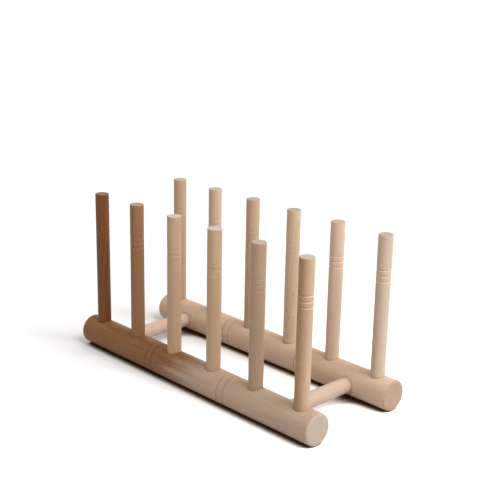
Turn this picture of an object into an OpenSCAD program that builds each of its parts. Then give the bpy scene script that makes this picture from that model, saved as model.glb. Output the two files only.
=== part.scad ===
// Free-standing plate rack, built of round wooden bars.
// Two round rails lie side by side. Each carries a row of upright pegs, and two
// cross rods hold the rails apart. Every joint is a round tenon glued into a blind hole.
// Origin: on the ground plane, midway between the rails and halfway along them.
// X runs along the rails, Y from the front rail to the rear rail, Z is up.

/* [Rails] */
// Diameter of each round rail
rail_d = 26; // [22:0.5:32]
// Distance between the axes of the two rails
rail_spacing = 90; // [60:1:140]
// Length of rail beyond the axis of its first and last peg
rail_overhang = 17.5; // [12:0.5:40]
// Radius of the rounded edge at each end of a rail
rail_edge = 2; // [0.4:0.1:4]

/* [Pegs] */
// Distance between the axes of neighbouring pegs
peg_pitch = 49; // [40:0.5:70]
// Diameter of each peg
peg_d = 12; // [8:0.5:16]
// Height of a peg above the top of its rail
peg_rise = 118; // [70:1:180]
// Depth of a peg's hole, from the top of the rail
peg_seat = 15; // [8:0.5:18]
// Radius of the rounded edge at both ends of a peg
peg_edge = 0.8; // [0.2:0.1:2]

/* [Cross rods] */
// Diameter of each cross rod
rod_d = 13; // [8:0.5:16]
// Distance from the axis of the last peg of a row to the axis of the rod beside it
rod_inset = 22.5; // [18:0.5:28]
// Depth of a rod's hole, from the inner side of the rail
rod_seat = 10; // [5:0.5:16]
// Radius of the rounded edge at both ends of a rod
rod_edge = 0.8; // [0.2:0.1:2]

/* [Glued joints] */
// Room for glue between a tenon and its hole, on the radius
glue_gap = 0.1; // [0.05:0.01:0.25]

/* [Turned grooves on the pegs] */
// Distance from the top of a peg to its first groove
groove_drop = 28.5; // [8:0.5:40]
// Distance between neighbouring grooves
groove_step = 4.6; // [2.5:0.1:8]
// Width of a groove at the surface
groove_w = 1.3; // [0.6:0.1:2]
// Depth of a groove that is cut in full
groove_depth = 0.5; // [0.2:0.05:1]

/* [Ring grooves on the rails] */
// Distance from the axis of a middle peg to the middle of the ring pair beside it
ring_offset = 20.5; // [13:0.5:26]
// Distance between the two rings of a pair
ring_gap = 7; // [3:0.5:9]
// Width of a ring at the surface
ring_w = 0.9; // [0.4:0.1:2]
// Depth of a ring
ring_depth = 0.45; // [0.2:0.05:1]

/* [Hidden] */
$fn = 96;
EDGE_STEPS = 4;
CUT_MARGIN = 1;
PEGS_PER_RAIL = 6;
GROOVES_PER_PEG = 3;
ROD_SIDES = [-1, 1];

// Share of the full groove depth that is left on each peg after sanding
front_groove_share = [0.45, 0.6, 0.5, 0.4, 0.45, 1.0];
rear_groove_share = [0.7, 0.6, 0.5, 0.25, 0.9, 1.0];

// Natural tone of each peg's own piece of wood
front_peg_tone = ["#6d401b", "#936a4a", "#c0a183", "#c4a586", "#b1967b", "#c0a080"];
rear_peg_tone = ["#c4a58a", "#d2b89e", "#c8aa8e", "#d8bda0", "#dfc4ad", "#d6c0aa"];

peg_length = peg_seat + peg_rise;
rail_length = (PEGS_PER_RAIL - 1) * peg_pitch + 2 * rail_overhang;
rod_length = rail_spacing - rail_d + 2 * rod_seat;
// A cross rod sits between the last two pegs of a row, level with the axes of the rails
rod_x = peg_x(PEGS_PER_RAIL) - rod_inset;
rod_z = rail_d / 2;

// Place of peg i along the rail, with i counted from the left
function peg_x(i) = (i - (PEGS_PER_RAIL + 1) / 2) * peg_pitch;

// Quarter round from angle_from over 90 degrees, about a centre on the bar's profile
function quarter_round(centre, radius, angle_from) = [
    for (k = [0:EDGE_STEPS])
        let (angle = angle_from + 90 * k / EDGE_STEPS)
        centre + radius * [cos(angle), sin(angle)]
];

// Places of the peg's grooves, from the lowest to the highest
function peg_grooves() = [
    for (k = [GROOVES_PER_PEG - 1:-1:0]) peg_length - groove_drop - k * groove_step
];

// Places of the rail's rings, from its left end: one pair outside each middle peg
function rail_rings() = [
    for (side = [-1, 1], ring = [-1, 1])
        rail_length / 2 + side * (peg_pitch / 2 + ring_offset) + ring * ring_gap / 2
];

// A round bar along +Z from the origin, with round edges and V grooves at the given places
module turned_bar(length, diameter, edge, groove_places = [], width = 1, depth = 1) {
    radius = diameter / 2;
    rotate_extrude()
        polygon(concat(
            [[0, 0]],
            quarter_round([radius - edge, edge], edge, -90),
            [for (place = groove_places, step = [-1, 0, 1])
                [radius - (step == 0 ? depth : 0), place + step * width / 2]],
            quarter_round([radius - edge, length - edge], edge, 0),
            [[0, length]]
        ));
}

// A rail along X over the origin, with its rod holes in the side that faces +Y
module rail() {
    difference() {
        translate([-rail_length / 2, 0, rail_d / 2])
            rotate([0, 90, 0])
                turned_bar(rail_length, rail_d, rail_edge, rail_rings(), ring_w, ring_depth);
        for (i = [1:PEGS_PER_RAIL])
            translate([peg_x(i), 0, rail_d - peg_seat])
                cylinder(d = peg_d + 2 * glue_gap, h = peg_seat + CUT_MARGIN);
        for (side = ROD_SIDES)
            translate([side * rod_x, rail_d / 2 - rod_seat, rod_z])
                rotate([-90, 0, 0])
                    cylinder(d = rod_d + 2 * glue_gap, h = rod_seat + CUT_MARGIN);
    }
}

module front_rail() {
    color("#c0a791")
        translate([0, -rail_spacing / 2, 0])
            rail();
}

module rear_rail() {
    color("#dbbfa5")
        translate([0, rail_spacing / 2, 0])
            mirror([0, 1, 0])
                rail();
}

// A peg whose foot stands on the floor of its hole
module peg(groove_share) {
    translate([0, 0, rail_d - peg_seat])
        turned_bar(peg_length, peg_d, peg_edge, peg_grooves(), groove_w, groove_depth * groove_share);
}

module front_peg(i) {
    color(front_peg_tone[i - 1])
        translate([peg_x(i), -rail_spacing / 2, 0])
            peg(front_groove_share[i - 1]);
}

module rear_peg(i) {
    color(rear_peg_tone[i - 1])
        translate([peg_x(i), rail_spacing / 2, 0])
            peg(rear_groove_share[i - 1]);
}

// A cross rod whose ends meet the floors of its two holes
module cross_rod(side) {
    translate([side * rod_x, -rod_length / 2, rod_z])
        rotate([-90, 0, 0])
            turned_bar(rod_length, rod_d, rod_edge);
}

module left_cross_rod() {
    color("#ceb49e")
        cross_rod(-1);
}

module right_cross_rod() {
    color("#ccb39e")
        cross_rod(1);
}

front_rail();
rear_rail();
left_cross_rod();
right_cross_rod();
for (i = [1:PEGS_PER_RAIL]) {
    front_peg(i);
    rear_peg(i);
}
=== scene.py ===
"""Looks of a free-standing plate rack: turned and sanded beech bars, glued together.

Every piece is a round bar. A bar's mesh is built along its own Z axis, which is also the
direction of the grain, and is then laid where the frame has that bar.
"""
import math
from dataclasses import dataclass

import bpy
import numpy as np
from mathutils import Matrix, Vector, noise


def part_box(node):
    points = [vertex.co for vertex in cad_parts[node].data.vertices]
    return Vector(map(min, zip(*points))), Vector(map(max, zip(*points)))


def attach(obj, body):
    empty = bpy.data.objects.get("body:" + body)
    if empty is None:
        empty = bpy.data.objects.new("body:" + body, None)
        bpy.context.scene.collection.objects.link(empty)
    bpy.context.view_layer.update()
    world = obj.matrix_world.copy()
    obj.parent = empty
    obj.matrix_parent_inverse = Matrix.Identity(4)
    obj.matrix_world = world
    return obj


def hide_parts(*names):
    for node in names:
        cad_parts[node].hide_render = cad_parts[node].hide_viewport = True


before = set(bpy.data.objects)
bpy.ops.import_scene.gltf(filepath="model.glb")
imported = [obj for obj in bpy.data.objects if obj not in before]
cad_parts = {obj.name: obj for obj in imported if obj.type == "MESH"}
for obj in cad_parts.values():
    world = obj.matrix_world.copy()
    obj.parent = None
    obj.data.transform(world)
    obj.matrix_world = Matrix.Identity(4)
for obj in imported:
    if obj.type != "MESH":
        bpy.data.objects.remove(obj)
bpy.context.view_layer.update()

MM = 0.001

# Turned details, in metres. The bars' own sizes come from the frame.
RAIL_EDGE = 2.0 * MM
PEG_EDGE = 0.8 * MM
ROD_EDGE = 0.8 * MM
GROOVE_DROP = 28.5 * MM
GROOVE_STEP = 4.6 * MM
GROOVE_WIDTH = 1.3 * MM
GROOVE_DEPTH = 0.5 * MM
GROOVES_PER_PEG = 3
RING_OFFSET = 20.5 * MM
RING_GAP = 7 * MM
RING_WIDTH = 0.9 * MM
RING_DEPTH = 0.45 * MM
PEG_SEAT = 15 * MM
ROD_SEAT = 10 * MM
GLUE_GAP = 0.1 * MM

PEGS_PER_RAIL = 6
ROWS = ("front", "rear")
SIDES = ("left", "right")
CUT_MARGIN = 2 * MM
RAIL_SEED = {"front": 20, "rear": 21}
ROD_SEED = {"left": 31, "right": 32}

# Share of the full groove depth that sanding left on each peg, from left to right
GROOVE_SHARE = {
    "front": (0.45, 0.6, 0.5, 0.4, 0.45, 1.0),
    "rear": (0.7, 0.6, 0.5, 0.25, 0.9, 1.0),
}

# How bright the painted highlights on the lower lips of a row's grooves are, and on those of the rings on
# the rails
LIP_LIGHT = {"front": 1.5, "rear": 0.7}
RING_LIP_LIGHT = 0.2

# How far the painted contact shade reaches from a joint on the rail, the peg and the rod
RAIL_JOINT_SHADE = 0.7 * MM
PEG_JOINT_SHADE = 1.3 * MM
ROD_JOINT_SHADE = 1.6 * MM
# Where it is darkest on the peg and the rod, outward from the joint
PEG_JOINT_SHADE_DARKEST = -0.1 * MM
ROD_JOINT_SHADE_DARKEST = 0.3 * MM


# ---------------------------------------------------------------- sizes from the frame

def node_centre(node):
    low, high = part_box(node)
    return (low + high) / 2


def node_size(node):
    low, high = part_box(node)
    return high - low


rail_size = node_size("front_rail")
rail_length = rail_size.x
rail_radius = rail_size.z / 2
peg_size = node_size("front_peg_1")
peg_length = peg_size.z
peg_radius = peg_size.x / 2
rod_size = node_size("left_cross_rod")
rod_length = rod_size.y
rod_radius = rod_size.x / 2
rail_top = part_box("front_rail")[1].z
peg_pitch = node_centre("front_peg_2").x - node_centre("front_peg_1").x


# ---------------------------------------------------------------- meshes of turned bars

# How finely a bar is modelled: steps of a rounded edge, rings on an end face, the longest step
# along a plain stretch, and segments round a peg or rod, round a rail and round a hole
ROUND_STEPS = 6
CAP_RINGS = 5
PLAIN_STEP = 2.5 * MM
BAR_SEGMENTS = 72
RAIL_SEGMENTS = 112
HOLE_SEGMENTS = 64
# Faces that meet at more than this many degrees are shaded with a sharp edge between them
SHARP_ANGLE = 38

# Sanding took between nothing and this much off a bar's radius, changing over WAVE_SIZE
BAR_WAVE = 0.06 * MM
RAIL_WAVE = 0.1 * MM
WAVE_SIZE = 14 * MM

# How unevenly a groove was cut: (share of its depth, distance over which it changes)
GROOVE_WEAR = ((0.45, 5 * MM), (0.25, 1.5 * MM))
GROOVE_SEED = 11
LEAST_GROOVE = 0.25
MOST_GROOVE = 1.25

# What a seed of 1 shifts the noise by
SEED_SHIFT = (7.3, 3.1, 5.7)

# A groove's cross-section: (half widths along the bar, share of the depth)
GROOVE_SHAPE = ((-1.6, 0.0), (-1.2, 0.0), (-1.0, 0.04), (-0.82, 0.16), (-0.22, 0.86), (0.0, 1.0),
                (0.22, 0.86), (0.82, 0.16), (1.0, 0.04), (1.2, 0.0), (1.6, 0.0))


def arc(centre_r, centre_z, radius, start, steps=ROUND_STEPS):
    """Quarter round in the profile's plane, as (radius from the axis, height) points."""
    points = []
    for k in range(steps + 1):
        angle = math.radians(start + 90 * k / steps)
        points.append((centre_r + radius * math.cos(angle), centre_z + radius * math.sin(angle)))
    return points


def groove_points(radius, place, width, depth):
    """A V groove with eased shoulders and a slightly rounded floor."""
    half = width / 2
    return [(radius - depth * down, place + half * along) for along, down in GROOVE_SHAPE]


def bar_profile(length, radius, edge, grooves):
    """The bar's outline from the middle of its foot to the middle of its top.

    grooves is a list of (place, width, depth), in order from the foot.
    """
    flat = radius - edge
    cap = [flat * k / CAP_RINGS for k in range(1, CAP_RINGS + 1)]
    side = arc(flat, edge, edge, -90)
    for place, width, depth in grooves:
        side += groove_points(radius, place, width, depth)
    side += arc(flat, length - edge, edge, 0)
    profile = [(r, 0.0) for r in cap[:-1]]
    for start, end in zip(side, side[1:]):
        profile.append(start)
        pieces = max(1, round((end[1] - start[1]) / PLAIN_STEP))
        for k in range(1, pieces):
            share = k / pieces
            profile.append((start[0] + (end[0] - start[0]) * share,
                            start[1] + (end[1] - start[1]) * share))
    profile.append(side[-1])
    profile += [(r, length) for r in reversed(cap[:-1])]
    return profile


def uneven(point, seed, size):
    """Smooth noise from -1 to 1 that changes over about the given distance."""
    return noise.noise(Vector(point) / size + Vector([seed * shift for shift in SEED_SHIFT]))


def worn_depth(cut, around, seed):
    """How deep a groove is at a point: the tool bit unevenly, and sanding took some away."""
    left = 1
    for k, (amount, size) in enumerate(GROOVE_WEAR):
        left += amount * uneven(around, seed + GROOVE_SEED + k, size)
    return cut * min(MOST_GROOVE, max(LEAST_GROOVE, left))


def turned_bar(name, length, radius, edge, grooves, seed, segments=BAR_SEGMENTS, wave=BAR_WAVE):
    """A closed mesh of a turned bar, along Z from the origin, sanded down by up to wave."""
    profile = bar_profile(length, radius, edge, grooves)
    vertices = [(0.0, 0.0, 0.0)]
    for ring_radius, height in profile:
        cut = radius - ring_radius
        in_groove = edge < height < length - edge and cut > 0
        for j in range(segments):
            angle = 2 * math.pi * j / segments
            direction = (math.cos(angle), math.sin(angle))
            around = (direction[0] * radius, direction[1] * radius, height)
            r = ring_radius
            if in_groove:
                r = radius - worn_depth(cut, around, seed)
            share = ring_radius / radius
            r -= wave * share * (1 + uneven(around, seed, WAVE_SIZE)) / 2
            vertices.append((direction[0] * r, direction[1] * r, height))
    vertices.append((0.0, 0.0, length))
    last = len(vertices) - 1
    top = last - segments
    faces = []
    for j in range(segments):
        after = (j + 1) % segments
        faces.append((0, 1 + after, 1 + j))
        faces.append((last, top + j, top + after))
    for k in range(len(profile) - 1):
        low = 1 + k * segments
        high = low + segments
        for j in range(segments):
            after = (j + 1) % segments
            faces.append((low + j, low + after, high + after, high + j))
    mesh = bpy.data.meshes.new(name)
    mesh.from_pydata(vertices, [], faces)
    mesh.update()
    piece = bpy.data.objects.new(name, mesh)
    bpy.context.scene.collection.objects.link(piece)
    return piece


def cut_holes(piece, holes):
    """Drills blind round holes: each is (radius, mouth, floor), in the piece's own space."""
    cutters = []
    for radius, mouth, floor in holes:
        axis = mouth - floor
        bpy.ops.mesh.primitive_cylinder_add(vertices=HOLE_SEGMENTS, radius=radius, depth=axis.length)
        cutter = bpy.context.object
        turn = axis.to_track_quat("Z", "Y").to_matrix().to_4x4()
        cutter.matrix_world = Matrix.Translation((mouth + floor) / 2) @ turn
        cutters.append(cutter)
    for cutter in cutters:
        modifier = piece.modifiers.new("hole", "BOOLEAN")
        modifier.operation = "DIFFERENCE"
        modifier.solver = "EXACT"
        modifier.object = cutter
    bpy.context.view_layer.update()
    evaluated = piece.evaluated_get(bpy.context.evaluated_depsgraph_get())
    mesh = bpy.data.meshes.new_from_object(evaluated)
    piece.modifiers.clear()
    piece.data = mesh
    for cutter in cutters:
        bpy.data.objects.remove(cutter)


def finish_mesh(piece):
    piece.data.shade_smooth()
    piece.data.set_sharp_from_angle(angle=math.radians(SHARP_ANGLE))


# ---------------------------------------------------------------- what a point of a bar is

# Marks on a rounded edge, as shares of its radius: where the end grain is full, the middle and
# width of the rubbed rim along the bar, and how far in it starts and is full across the bar
END_GRAIN_FULL = 0.2
RIM_MIDDLE = 0.3
RIM_WIDTH = 0.35
RIM_START = 1.2
RIM_FULL = 0.6

# Marks on a groove, in half widths above its middle: painted shade on its floor and a painted highlight
# along its lower edge
FLOOR_MIDDLE = 0.3
FLOOR_FULL = 0.2
LIP_MIDDLE = -0.75
LIP_WIDTH = 0.32

# The painted highlight along a groove's lower edge fades with the groove's depth share, to this power
LIP_WEAR = 1.5

# Points beyond this share of a bar's radius are on its outside
OUTSIDE = 0.9


def smooth(low, high, x):
    """0 at low, 1 at high, and smooth between; low may be the larger."""
    share = np.clip((x - low) / (high - low), 0, 1)
    return share * share * (3 - 2 * share)


def mark(piece, name, values):
    """Keeps one number per vertex for the material to read."""
    attribute = piece.data.attributes.new(name, "FLOAT", "POINT")
    attribute.data.foreach_set("value", np.asarray(values, np.float32))


def vertex_places(piece):
    places = np.zeros(len(piece.data.vertices) * 3, np.float32)
    piece.data.vertices.foreach_get("co", places)
    return places.reshape(-1, 3).astype(float)


def mark_bar(piece, length, radius, edge, grooves, joint,
             groove_reach=0.8, groove_shade=0.1, lip_light=1.0):
    """Marks end grain, rubbed edges, painted shade on groove floors, painted highlights on the grooves'
    lower lips, and painted contact shade at joints.

    joint is a function that gives the strength of the painted contact shade at each vertex.
    groove_reach is how far the painted shade on a groove's floor reaches, in half widths.
    """
    p = vertex_places(piece)
    r = np.hypot(p[:, 0], p[:, 1])
    from_end = np.minimum(p[:, 2], length - p[:, 2])
    # Cut fibres begin on the rounded edge, which is also rubbed
    mark(piece, "end_grain", smooth(edge, END_GRAIN_FULL * edge, from_end))
    rim = np.exp(-((from_end - RIM_MIDDLE * edge) / (RIM_WIDTH * edge)) ** 2)
    mark(piece, "edge", rim * smooth(radius - RIM_START * edge, radius - RIM_FULL * edge, r))
    floor = np.zeros(len(p))
    lip_highlight = np.zeros(len(p))
    outside = r > radius * OUTSIDE
    for place, width, depth in grooves:
        # -1 at the groove's lower shoulder and 1 at its upper one; the painted shade on the floor leans
        # towards the upper one
        across = (p[:, 2] - place) / (width / 2)
        full = depth / GROOVE_DEPTH
        dark = smooth(groove_reach, FLOOR_FULL, np.abs(across - FLOOR_MIDDLE)) * full * groove_shade
        floor = np.maximum(floor, dark)
        highlight = np.exp(-((across - LIP_MIDDLE) / LIP_WIDTH) ** 2) * full ** LIP_WEAR * lip_light
        lip_highlight = np.maximum(lip_highlight, highlight)
    mark(piece, "groove", np.where(outside, floor, 0))
    mark(piece, "lip_highlight", np.where(outside, lip_highlight, 0))
    mark(piece, "joint", joint(p))


# ---------------------------------------------------------------- materials

def srgb(red, green, blue):
    """A colour as it shows on screen, 0 to 255, as the linear colour that nodes take."""
    def linear(value):
        value /= 255
        return value / 12.92 if value <= 0.04045 else ((value + 0.055) / 1.055) ** 2.4
    return (linear(red), linear(green), linear(blue), 1.0)


class Nodes:
    """Short names for the nodes that a material is made of."""

    def __init__(self, tree):
        self.tree = tree
        tree.nodes.clear()

    def put(self, value, socket):
        if isinstance(value, bpy.types.NodeSocket):
            self.tree.links.new(value, socket)
        else:
            socket.default_value = value

    def node(self, kind, inputs=(), **settings):
        """Makes a node; inputs is a dict by socket name, or a list in socket order."""
        made = self.tree.nodes.new("ShaderNode" + kind)
        for key, value in settings.items():
            setattr(made, key, value)
        pairs = inputs.items() if isinstance(inputs, dict) else enumerate(inputs)
        for key, value in pairs:
            self.put(value, made.inputs[key])
        return made

    def math(self, operation, a, b=0.0, clamp=False):
        return self.node("Math", [a, b], operation=operation, use_clamp=clamp).outputs[0]

    def add(self, *terms):
        total = terms[0]
        for term in terms[1:]:
            total = self.math("ADD", total, term)
        return total

    def times(self, *factors):
        product = factors[0]
        for factor in factors[1:]:
            product = self.math("MULTIPLY", product, factor)
        return product

    def swing(self, value, size):
        """A value from 0 to 1 turned into one that swings by size about 0."""
        return self.times(self.math("SUBTRACT", value, 0.5), 2 * size)

    def step(self, value, low, high):
        """0 at low, 1 at high, and smooth between; low may be the larger."""
        made = self.node("MapRange", [value, low, high, 0.0, 1.0], interpolation_type="SMOOTHSTEP")
        return made.outputs[0]

    def mix(self, share, a, b, blend="MIX"):
        """Mixes two colours. The node's colour sockets come after those for other kinds."""
        made = self.node("Mix", data_type="RGBA", blend_type=blend)
        for index, value in ((0, share), (6, a), (7, b)):
            self.put(value, made.inputs[index])
        return made.outputs[2]

    def tint(self, share, colour, factor):
        """Multiplies a colour by a factor for each channel, as far as share goes."""
        return self.mix(share, colour, (*factor, 1.0), "MULTIPLY")

    def vector(self, operation, a, b):
        return self.node("VectorMath", [a, b], operation=operation).outputs[0]

    def noise(self, place, per_mm, detail=2.0, rough=0.5):
        """Noise with so many changes per millimetre along each axis."""
        scaled = self.vector("MULTIPLY", place, per_mm)
        made = self.node("TexNoise", {"Vector": scaled, "Scale": 1.0, "Detail": detail, "Roughness": rough})
        return made.outputs["Fac"]

    def cells(self, place, per_mm):
        """Distance to the nearest of scattered points, so many per millimetre along each axis."""
        scaled = self.vector("MULTIPLY", place, per_mm)
        return self.node("TexVoronoi", {"Vector": scaled, "Scale": 1.0}).outputs["Distance"]

    def attribute(self, name):
        return self.node("Attribute", attribute_name=name).outputs["Fac"]


@dataclass
class Grain:
    """How the wood of one bar grew. Lengths are millimetres in the bar's own space."""
    seed: int
    pith: tuple = (40, 15)    # where the middle of the tree was, across the bar
    slope: float = 0.02       # sideways drift of the rings along the bar
    ring_step: float = 2.6    # one year's growth
    rings: float = 0.08       # how much darker each year's late wood is
    streaks: float = 0.09     # contrast of the lengthwise streaks
    blotch: float = 0.12      # contrast of the slow changes of tone
    waves: float = 4.0        # how far the rings wander sideways
    flecks: float = 0.55      # strength of the short dark ray marks
    knots: tuple = ()         # small dark marks, each (place, width, height)
    heart_and_shade: tuple = ()         # brown heartwood and painted shadow: (factor per channel, fully brown up to, gone from)
    shade_flank: tuple = ()         # a side darkened by painted shade: (x and y of its direction, factor per channel)


# Factors per channel that tint the wood
PINK_TINT = (1.012, 0.985, 0.99)
YELLOW_TINT = (0.995, 1.0, 0.975)
RAY_TINT = (0.70, 0.60, 0.52)
KNOT_TINT = (0.55, 0.45, 0.38)
VEIN_TINT = (0.76, 0.68, 0.58)
# Painted shade in the grooves of the brown end
BROWN_GROOVE_SHADE_TINT = (0.60, 0.50, 0.40)
EDGE_TINT = (1.02, 1.03, 1.04)
# Painted highlight on the grooves' lower lips and painted shade on their floors
LIP_HIGHLIGHT_TINT = (1.40, 1.50, 1.60)
GROOVE_SHADE_TINT = (0.50, 0.40, 0.32)
# Painted contact shade where the parts meet
JOINT_SHADE_TINT = (0.5, 0.4, 0.32)

# What a seed of 1 shifts the wood's noise by, in millimetres, and the rays' points by
WOOD_SHIFT = (37.1, 21.7, 53.9)
RAY_SHIFT = 11.3

# Changes per millimetre along a bar's X, Y and Z, which is its grain
WANDER = (0.05, 0.05, 0.014)
RIPPLE = (0.2, 0.2, 0.05)
BROAD_STREAKS = (0.3, 0.3, 0.010)
FINE_STREAKS = (1.6, 1.6, 0.045)
BLOTCHES = (0.07, 0.07, 0.03)
PINK_STRETCHES = (0.06, 0.06, 0.02)
HAIR = (7.0, 7.0, 0.3)
CLOUD = (0.22, 0.22, 0.22)
PORES = (4.2, 4.2, 0.2)
RAY_PATCHES = (0.11, 0.11, 0.05)
FLAMES = (0.2, 0.2, 0.009)
VEINS = (0.34, 0.34, 0.03)

# Rays per millimetre outward from the pith, round it and along the grain
LONG_RAYS = (0.04, 1.9, 0.16)
SHORT_RAYS = (0.09, 3.4, 0.42)
SHORT_RAY_STRENGTH = 0.4

RIPPLE_SHARE = 0.12          # how far the rings ripple, as a share of how far they wander
FINE_STREAK_SHARE = 0.8      # contrast of the fine streaks, as a share of the broad ones'
LATE_MEAN = 0.35             # about the mean of late_wood over a year
HEART_AND_SHADE_LEAN = -1.2            # how the edge of the brown heartwood and painted shadow slants across the bar
HEART_AND_SHADE_FLAMES = 42.0          # how far that edge runs to and fro, in millimetres
FLANK_FROM = -4.0            # painted shade on one side starts this far across the bar from its axis,
FLANK_TO = 6.0               # and is darkest here, in millimetres
# Strength of the painted contact shade where the parts meet
JOINT_SHADE_STRENGTH = 0.35
WOOD_ROUGHNESS = 0.5
WOOD_SPECULAR = 0.3
RELIEF_STRENGTH = 0.3
RELIEF_DEPTH = 0.07 * MM


class Wood:
    """The fields that a beech material is mixed from, in the bar's own millimetres."""

    def __init__(self, n, grain):
        self.n = n
        self.grain = grain
        in_metres = n.node("TexCoord").outputs["Object"]
        self.place = n.vector("MULTIPLY", in_metres, (1000, 1000, 1000))
        self.shifted = n.vector("ADD", self.place, tuple(grain.seed * shift for shift in WOOD_SHIFT))
        self.x, self.y, self.z = n.node("SeparateXYZ", [self.place]).outputs
        self.from_tree()
        self.late = self.late_wood()
        self.rings = n.times(n.math("SUBTRACT", self.late, LATE_MEAN), grain.rings)
        self.rays = self.ray_marks()
        self.hair = self.noise(HAIR, 2.0, 0.6)
        self.cloud = self.noise(CLOUD, 3.0, 0.6)
        self.pores = n.step(n.cells(self.shifted, PORES), 0.32, 0.12)
        self.end_grain = n.attribute("end_grain")

    def noise(self, per_mm, detail=2.0, rough=0.5):
        return self.n.noise(self.shifted, per_mm, detail, rough)

    def from_tree(self):
        """The bar as the tree saw it: distance from the pith, and distance round it."""
        n, grain = self.n, self.grain
        wander = n.swing(self.noise(WANDER), grain.waves)
        ripple = n.swing(self.noise(RIPPLE), grain.waves * RIPPLE_SHARE)
        x = n.add(self.x, grain.pith[0], n.times(self.z, grain.slope))
        y = n.add(self.y, grain.pith[1], wander, ripple)
        self.radius = n.math("SQRT", n.add(n.times(x, x), n.times(y, y)))
        self.round = n.times(n.math("ARCTAN2", y, x), math.hypot(*grain.pith))

    def late_wood(self):
        """Rises through each year's ring, and falls back sharply where the next year starts."""
        n = self.n
        year = n.math("DIVIDE", self.radius, self.grain.ring_step)
        phase = n.math("FRACT", year)
        return n.times(n.step(phase, 0.25, 0.95), n.step(phase, 1.0, 0.96))

    def ray_marks(self):
        """Rays run out from the pith as thin upright ribbons, and show as short dark dashes."""
        n = self.n
        place = n.node("CombineXYZ", [self.radius, self.round, self.z]).outputs[0]
        shifted = n.vector("ADD", place, (self.grain.seed * RAY_SHIFT, 0, 0))
        long = n.step(n.cells(shifted, LONG_RAYS), 0.17, 0.07)
        short = n.step(n.cells(shifted, SHORT_RAYS), 0.2, 0.08)
        patchy = n.step(self.noise(RAY_PATCHES), 0.38, 0.62)
        return n.add(n.times(long, patchy), n.times(short, SHORT_RAY_STRENGTH))

    def streaks(self):
        n = self.n
        broad = n.swing(self.noise(BROAD_STREAKS, 3.0, 0.55), 1.0)
        fine = n.swing(self.noise(FINE_STREAKS, 2.0, 0.6), FINE_STREAK_SHARE)
        return n.add(broad, fine)

    def blotches(self):
        return self.n.swing(self.noise(BLOTCHES), 1.0)


def wood_tones(tone, contrast=0.3):
    """The palest and darkest colour of a wood of this tone. The dark one is also redder."""
    light = [channel * (1 + contrast) for channel in tone[:3]]
    dark = [channel * (1 - contrast) * redder for channel, redder in zip(tone[:3], (1.0, 0.94, 0.88))]
    return (*light, 1.0), (*dark, 1.0)


def side_colour(n, wood, side):
    """Wood seen along the grain: year rings, streaks, slow changes, fibres and ray flecks."""
    grain = wood.grain
    tone = n.add(0.5, wood.rings, n.times(wood.streaks(), grain.streaks),
                 n.times(wood.blotches(), grain.blotch), n.swing(wood.hair, 0.2))
    tone = n.math("MAXIMUM", n.math("MINIMUM", tone, 1.0), 0.0)
    colour = n.mix(tone, *wood_tones(side))
    # Pinker and yellower stretches along the bar
    pink = n.step(wood.noise(PINK_STRETCHES), 0.3, 0.7)
    colour = n.tint(pink, colour, PINK_TINT)
    colour = n.tint(n.math("SUBTRACT", 1.0, pink), colour, YELLOW_TINT)
    return n.tint(n.times(wood.rays, grain.flecks), colour, RAY_TINT)


def end_colour(n, wood, end):
    """Wood cut across: fibres are small pores, and sanding left it smooth and a little cloudy."""
    tone = n.add(0.46, wood.rings, n.times(wood.pores, 0.1), n.swing(wood.cloud, 0.22))
    return n.mix(tone, *wood_tones(end))


def add_knots(n, wood, colour):
    """Small dark marks with a ragged edge."""
    for centre, width, height in wood.grain.knots:
        size = (2 / width, 2 / width, 2 / height)
        away = n.vector("MULTIPLY", n.vector("SUBTRACT", wood.place, centre), size)
        far = n.node("VectorMath", [away], operation="LENGTH").outputs["Value"]
        far = n.add(far, n.swing(wood.hair, 0.4))
        colour = n.tint(n.times(n.step(far, 1.15, 0.3), 0.8), colour, KNOT_TINT)
    return colour


def add_flank_shade(n, wood, colour):
    """Paints shade on the side of the bar that faces the given direction, making it darker and browner."""
    side_x, side_y, factor = wood.grain.shade_flank
    facing = n.add(n.times(wood.x, side_x), n.times(wood.y, side_y), n.swing(wood.cloud, 2.0))
    return n.tint(n.step(facing, FLANK_FROM, FLANK_TO), colour, factor)


def add_heartwood_and_shade(n, wood, colour):
    """Makes the wood brown from the bar's foot up to a flame-like edge, with darker veins: partly
    heartwood, partly painted shadow.
    """
    factor, brown_to, gone_from = wood.grain.heart_and_shade
    flames = wood.noise(FLAMES, 4.0, 0.6)
    edge = n.add(wood.z, n.times(wood.y, HEART_AND_SHADE_LEAN), n.swing(flames, HEART_AND_SHADE_FLAMES))
    brown = n.step(edge, gone_from, brown_to)
    colour = n.tint(brown, colour, factor)
    veins = n.step(wood.noise(VEINS, 3.0, 0.6), 0.46, 0.72)
    colour = n.tint(n.times(brown, veins), colour, VEIN_TINT)
    # Painted shade in the grooves, deeper in the brown end
    return n.tint(n.times(brown, n.attribute("groove")), colour, BROWN_GROOVE_SHADE_TINT)


def add_wear_and_painted_light(n, colour):
    """Rubbed edges are paler; painted highlights on the grooves' lower lips, painted shade on groove floors
    and painted contact shade at joints.
    """
    colour = n.tint(n.attribute("edge"), colour, EDGE_TINT)
    colour = n.tint(n.attribute("lip_highlight"), colour, LIP_HIGHLIGHT_TINT)
    colour = n.tint(n.attribute("groove"), colour, GROOVE_SHADE_TINT)
    return n.tint(n.times(n.attribute("joint"), JOINT_SHADE_STRENGTH), colour, JOINT_SHADE_TINT)


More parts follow.
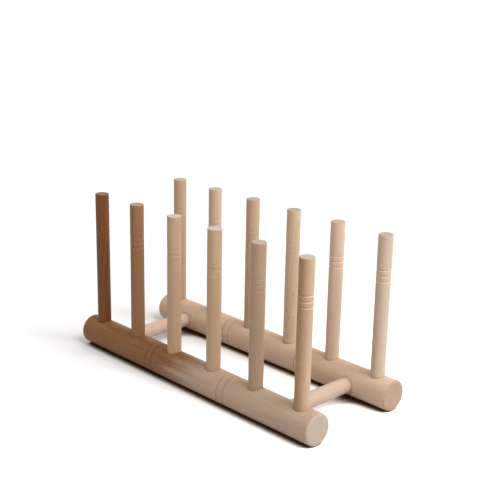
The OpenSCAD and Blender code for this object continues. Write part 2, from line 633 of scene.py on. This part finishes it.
def beech(name, side, end, grain):
    """Sanded, unvarnished beech. side and end are its tones along and across the grain."""
    material = bpy.data.materials.new(name)
    material.use_nodes = True
    n = Nodes(material.node_tree)
    wood = Wood(n, grain)

    colour = add_knots(n, wood, side_colour(n, wood, side))
    if grain.shade_flank:
        colour = add_flank_shade(n, wood, colour)
    colour = n.mix(wood.end_grain, colour, end_colour(n, wood, end))
    if grain.heart_and_shade:
        colour = add_heartwood_and_shade(n, wood, colour)
    colour = add_wear_and_painted_light(n, colour)

    rough = n.add(WOOD_ROUGHNESS, n.swing(wood.hair, 0.10), n.times(wood.end_grain, 0.1),
                  n.times(wood.rays, -0.05))
    relief = n.add(n.times(wood.hair, 0.8), n.times(wood.late, -0.25), n.times(wood.rays, -0.5),
                   n.times(wood.pores, wood.end_grain, -0.8))
    bump = n.node("Bump", {"Strength": RELIEF_STRENGTH, "Distance": RELIEF_DEPTH, "Height": relief})
    shader = n.node("BsdfPrincipled", {"Base Color": colour, "Roughness": rough,
                                       "Normal": bump.outputs[0], "Specular IOR Level": WOOD_SPECULAR})
    n.node("OutputMaterial", {"Surface": shader.outputs[0]})
    return material


# ---------------------------------------------------------------- the pieces

def place_bar(piece, foot, direction):
    """Lays a bar so that its foot is at the given point and its grain runs that way."""
    turn = direction.to_track_quat("Z", "Y").to_matrix().to_4x4()
    piece.matrix_world = Matrix.Translation(foot) @ turn


def dress(piece, node, material):
    piece.data.materials.clear()
    piece.data.materials.append(material)
    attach(piece, "root")
    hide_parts(node)


def rail_rings():
    """Places of the ring grooves along a rail, from its left end."""
    places = [rail_length / 2 + side * (peg_pitch / 2 + RING_OFFSET) + ring * RING_GAP / 2
              for side in (-1, 1) for ring in (-1, 1)]
    return [(place, RING_WIDTH, RING_DEPTH) for place in places]


def rail_holes(row, to_local):
    """The blind holes of a rail, each as (radius, mouth, floor) in the rail's own space."""
    centre = node_centre(row + "_rail")
    inward = -1 if centre.y > 0 else 1
    holes = []
    for i in range(1, PEGS_PER_RAIL + 1):
        peg = node_centre(f"{row}_peg_{i}")
        mouth = Vector((peg.x, peg.y, rail_top + CUT_MARGIN))
        floor = Vector((peg.x, peg.y, rail_top - PEG_SEAT))
        holes.append((peg_radius + GLUE_GAP, to_local @ mouth, to_local @ floor))
    for side in SIDES:
        rod = node_centre(side + "_cross_rod")
        inner = centre.y + inward * rail_radius
        mouth = Vector((rod.x, inner + inward * CUT_MARGIN, rod.z))
        floor = Vector((rod.x, inner - inward * ROD_SEAT, rod.z))
        holes.append((rod_radius + GLUE_GAP, to_local @ mouth, to_local @ floor))
    return holes


def make_rail(row, material):
    node = row + "_rail"
    centre = node_centre(node)
    piece = turned_bar(node + "_turned", rail_length, rail_radius, RAIL_EDGE, rail_rings(),
                       RAIL_SEED[row], RAIL_SEGMENTS, RAIL_WAVE)
    place_bar(piece, Vector((centre.x - rail_length / 2, centre.y, centre.z)), Vector((1, 0, 0)))
    laid = piece.matrix_world.copy()
    holes = rail_holes(row, laid.inverted())
    piece.matrix_world = Matrix.Identity(4)
    cut_holes(piece, holes)
    finish_mesh(piece)

    # Painted contact shade round the mouth of each hole
    def joint_shade(p):
        shade = np.zeros(len(p))
        for radius, mouth, floor in holes:
            axis = np.array((mouth - floor).normalized())
            offset = p - np.array(floor)
            along = offset @ axis
            away = np.linalg.norm(offset - np.outer(along, axis), axis=1)
            near = smooth(radius + RAIL_JOINT_SHADE, radius, away)
            shade = np.maximum(shade, near * (along > 0))
        return shade

    # The rings on the rails get a broad painted shade in their floors and a faint painted highlight
    mark_bar(piece, rail_length, rail_radius, RAIL_EDGE, rail_rings(), joint_shade,
             groove_reach=1.4, groove_shade=1.1, lip_light=RING_LIP_LIGHT)
    piece.matrix_world = laid
    dress(piece, node, material)


def peg_grooves(row, i):
    """Places of a peg's grooves, from its foot."""
    depth = GROOVE_DEPTH * GROOVE_SHARE[row][i - 1]
    return [(peg_length - GROOVE_DROP - k * GROOVE_STEP, GROOVE_WIDTH, depth)
            for k in reversed(range(GROOVES_PER_PEG))]


def make_peg(row, i, material):
    node = f"{row}_peg_{i}"
    centre = node_centre(node)
    grooves = peg_grooves(row, i)
    piece = turned_bar(node + "_turned", peg_length, peg_radius, PEG_EDGE, grooves,
                       seed=i + 10 * ROWS.index(row))
    finish_mesh(piece)

    # Painted contact shade at the peg's foot, where it meets the rail
    def joint_shade(p):
        # Height of a point above the rail's round surface
        surface = PEG_SEAT - rail_radius + np.sqrt(np.maximum(rail_radius ** 2 - p[:, 1] ** 2, 0))
        return smooth(PEG_JOINT_SHADE, PEG_JOINT_SHADE_DARKEST, p[:, 2] - surface)

    mark_bar(piece, peg_length, peg_radius, PEG_EDGE, grooves, joint_shade, lip_light=LIP_LIGHT[row])
    place_bar(piece, Vector((centre.x, centre.y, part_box(node)[0].z)), Vector((0, 0, 1)))
    dress(piece, node, material)


def make_rod(side, material):
    node = side + "_cross_rod"
    centre = node_centre(node)
    piece = turned_bar(node + "_turned", rod_length, rod_radius, ROD_EDGE, (), ROD_SEED[side])
    finish_mesh(piece)

    # Painted contact shade near the rod's ends, where they enter the rails
    def joint_shade(p):
        from_end = np.minimum(p[:, 2], rod_length - p[:, 2])
        return smooth(ROD_SEAT + ROD_JOINT_SHADE, ROD_SEAT + ROD_JOINT_SHADE_DARKEST, from_end)

    mark_bar(piece, rod_length, rod_radius, ROD_EDGE, (), joint_shade)
    place_bar(piece, Vector((centre.x, centre.y - rod_length / 2, centre.z)), Vector((0, 1, 0)))
    dress(piece, node, material)


# The wood of each bar: its tone along the grain, its tone across the grain, and how it grew
PEG_WOOD = {
    # Front peg 1 is dark brown wood made darker still by painted shadow; front peg 2's brown tone is
    # painted shadow
    ("front", 1): (srgb(112, 66, 25), srgb(129, 93, 60),
                   Grain(1, pith=(9, 3), slope=0.05, rings=0.45, streaks=0.8, blotch=0.24, waves=9.0)),
    ("front", 2): (srgb(147, 106, 74), srgb(168, 136, 108), Grain(2, pith=(40, -15))),
    ("front", 3): (srgb(192, 161, 131), srgb(196, 182, 166), Grain(3, pith=(-35, 20), slope=-0.03)),
    ("front", 4): (srgb(196, 165, 134), srgb(196, 184, 171),
                   Grain(4, pith=(60, 10), slope=0.01, knots=(((-3.9, 4.55, 101.5), 3.4, 1.3),))),
    ("front", 5): (srgb(177, 150, 123), srgb(182, 167, 151),
                   Grain(5, pith=(-28, -22), slope=0.03, waves=6.0)),
    # Front peg 6 has painted shade on one side
    ("front", 6): (srgb(202, 173, 145), srgb(192, 176, 158),
                   Grain(6, pith=(45, -30), slope=0.015, shade_flank=(0.7, 0.71, (0.68, 0.55, 0.40)))),
    ("rear", 1): (srgb(196, 165, 138), srgb(184, 164, 144), Grain(7, pith=(30, 30), slope=-0.02)),
    ("rear", 2): (srgb(210, 184, 158), srgb(188, 170, 150), Grain(8, pith=(-50, 12))),
    ("rear", 3): (srgb(200, 170, 142), srgb(180, 160, 140), Grain(9, pith=(25, -18), slope=0.04)),
    ("rear", 4): (srgb(216, 189, 160), srgb(176, 155, 134),
                  Grain(10, pith=(7, -4), slope=0.06, ring_step=2.2, rings=0.16, streaks=0.14, waves=7.0,
                        knots=(((-1.3, 5.86, 105.9), 3.2, 1.0), ((-3.1, 5.1, 38.1), 3.2, 1.0)))),
    ("rear", 5): (srgb(223, 196, 173), srgb(187, 166, 145), Grain(11, pith=(55, -20), slope=0.01)),
    ("rear", 6): (srgb(214, 192, 170), srgb(187, 168, 146), Grain(12, pith=(-40, -35), slope=-0.02)),
}
# The front rail is brown at its left end: partly heartwood, partly painted shadow
RAIL_WOOD = {
    "front": (srgb(192, 167, 145), srgb(190, 171, 154),
              Grain(21, pith=(32, -14), slope=0.03, ring_step=3.0, heart_and_shade=((0.48, 0.285, 0.13), 106, 156),
                    knots=(((-1.0, 12.95, 187.6), 1.4, 3.4),))),
    "rear": (srgb(219, 191, 165), srgb(183, 155, 131),
             Grain(22, pith=(-30, 22), slope=-0.02, ring_step=2.8,
                   knots=(((-9.9, 8.4, 212.5), 1.2, 1.6),))),
}
ROD_WOOD = {
    "left": (srgb(206, 180, 158), srgb(196, 172, 152), Grain(31, pith=(38, 16))),
    "right": (srgb(204, 179, 158), srgb(200, 176, 156), Grain(32, pith=(30, -20))),
}

for row in ROWS:
    make_rail(row, beech(row + "_rail_wood", *RAIL_WOOD[row]))
for (row, i), wood in PEG_WOOD.items():
    make_peg(row, i, beech(f"{row}_peg_{i}_wood", *wood))
for side in SIDES:
    make_rod(side, beech(side + "_rod_wood", *ROD_WOOD[side]))


# ---------------------------------------------------------------- stage, light and camera

# Brightness 1 is white. The floor is seen so pale, and paler on the right, the side of the key light,
# that only the deeper shadows show on it, while it lights the object from below as a plain pale one.
# Where an underside comes close to the floor, a painted contact shadow makes the floor seen dark
# brown. Lengths are in metres.
FLOOR_REACH = 40.0
FLOOR_SEEN_LEFT = 0.95
FLOOR_SEEN_RIGHT = 1.6
FLOOR_LEFT_UP_TO = -0.16
FLOOR_RIGHT_FROM = 0.14
FLOOR_BOUNCE = 0.52
CONTACT_REACH = 26 * MM
CONTACT_DARK = 0.26
CONTACT_CLEAR = 0.50
CONTACT_SHADOW_BROWN = (0.11, 0.05, 0.022, 1.0)
# The sky is brighter the more a direction leans this way
SKY_LEVEL = 0.46
SKY_LEAN = (0.10, 0.13, 0.32)
SKY_TONE = (1.04, 1.0, 0.93, 1.0)
KEY_STRENGTH = 2.1
KEY_TONE = (0.95, 1.0, 1.10)
KEY_FROM = Vector((0.66, 0.09, 0.74))
KEY_SOFTNESS = 36


def grey(value):
    return (value, value, value, 1.0)


def seen_ray(n):
    """1 for rays that show the background: from the camera, off gloss or through glass."""
    path = n.node("LightPath").outputs
    seen = n.math("MAXIMUM", path["Is Camera Ray"], path["Is Glossy Ray"])
    return n.math("MAXIMUM", seen, path["Is Transmission Ray"])


def make_floor():
    material = bpy.data.materials.new("floor_paint")
    material.use_nodes = True
    n = Nodes(material.node_tree)
    x = n.node("SeparateXYZ", [n.node("NewGeometry").outputs["Position"]]).outputs[0]
    rightward = n.step(x, FLOOR_LEFT_UP_TO, FLOOR_RIGHT_FROM)
    seen = n.mix(rightward, grey(FLOOR_SEEN_LEFT), grey(FLOOR_SEEN_RIGHT))
    # Painted contact shadow: the seen floor turns dark brown where close undersides hide it from the sky
    uncovered = n.node("AmbientOcclusion", {"Distance": CONTACT_REACH}).outputs["AO"]
    seen = n.mix(n.step(uncovered, CONTACT_DARK, CONTACT_CLEAR), CONTACT_SHADOW_BROWN, seen)
    paint = n.mix(seen_ray(n), grey(FLOOR_BOUNCE), seen)
    diffuse = n.node("BsdfDiffuse", {"Color": paint})
    n.node("OutputMaterial", {"Surface": diffuse.outputs[0]})
    mesh = bpy.data.meshes.new("floor")
    r = FLOOR_REACH
    mesh.from_pydata([(-r, -r, 0), (r, -r, 0), (r, r, 0), (-r, r, 0)], [], [(0, 1, 2, 3)])
    mesh.materials.append(material)
    floor = bpy.data.objects.new("floor", mesh)
    bpy.context.scene.collection.objects.link(floor)


def make_sky():
    world = bpy.data.worlds.new("studio")
    bpy.context.scene.world = world
    world.use_nodes = True
    n = Nodes(world.node_tree)
    direction = n.node("TexCoord").outputs["Generated"]
    lean = n.node("VectorMath", [direction, SKY_LEAN], operation="DOT_PRODUCT").outputs["Value"]
    light = n.mix(n.add(SKY_LEVEL, lean), grey(0.0), SKY_TONE)
    background = n.node("Background", {"Color": n.mix(seen_ray(n), light, grey(1.0))})
    n.node("OutputWorld", {"Surface": background.outputs[0]})


def make_key():
    lamp = bpy.data.lights.new("key", "SUN")
    lamp.energy = KEY_STRENGTH
    lamp.color = KEY_TONE
    lamp.angle = math.radians(KEY_SOFTNESS)
    key = bpy.data.objects.new("key", lamp)
    bpy.context.scene.collection.objects.link(key)
    key.matrix_world = KEY_FROM.to_track_quat("Z", "Y").to_matrix().to_4x4()


# The photograph's camera: where it stands, and how it is turned. Azimuth 0 looks along +Y.
CAMERA_PLACE = Vector((0.58774, -0.56175, 0.35786))
CAMERA_AZIMUTH = 45.382
CAMERA_ELEVATION = 16.842
CAMERA_ROLL = 1.225
CAMERA_LENS = 73.21
CAMERA_SENSOR = 36.0
CAMERA_REACH = 200


def make_camera():
    azimuth = math.radians(CAMERA_AZIMUTH)
    elevation = math.radians(CAMERA_ELEVATION)
    roll = math.radians(CAMERA_ROLL)
    level = math.cos(elevation)
    back = Vector((math.sin(azimuth) * level, -math.cos(azimuth) * level, math.sin(elevation)))
    right = Vector((0, 0, 1)).cross(back).normalized()
    up = back.cross(right)
    tilted_right = math.cos(roll) * right + math.sin(roll) * up
    tilted_up = math.cos(roll) * up - math.sin(roll) * right
    camera_data = bpy.data.cameras.new("camera")
    camera_data.lens = CAMERA_LENS
    camera_data.sensor_width = CAMERA_SENSOR
    camera_data.sensor_fit = "HORIZONTAL"
    camera_data.clip_end = CAMERA_REACH
    camera = bpy.data.objects.new("camera", camera_data)
    bpy.context.scene.collection.objects.link(camera)
    turn = Matrix((tilted_right, tilted_up, back)).transposed().to_4x4()
    camera.matrix_world = Matrix.Translation(CAMERA_PLACE) @ turn
    bpy.context.scene.camera = camera


make_floor()
make_sky()
make_key()
make_camera()
bpy.context.scene.view_settings.view_transform = "Standard"
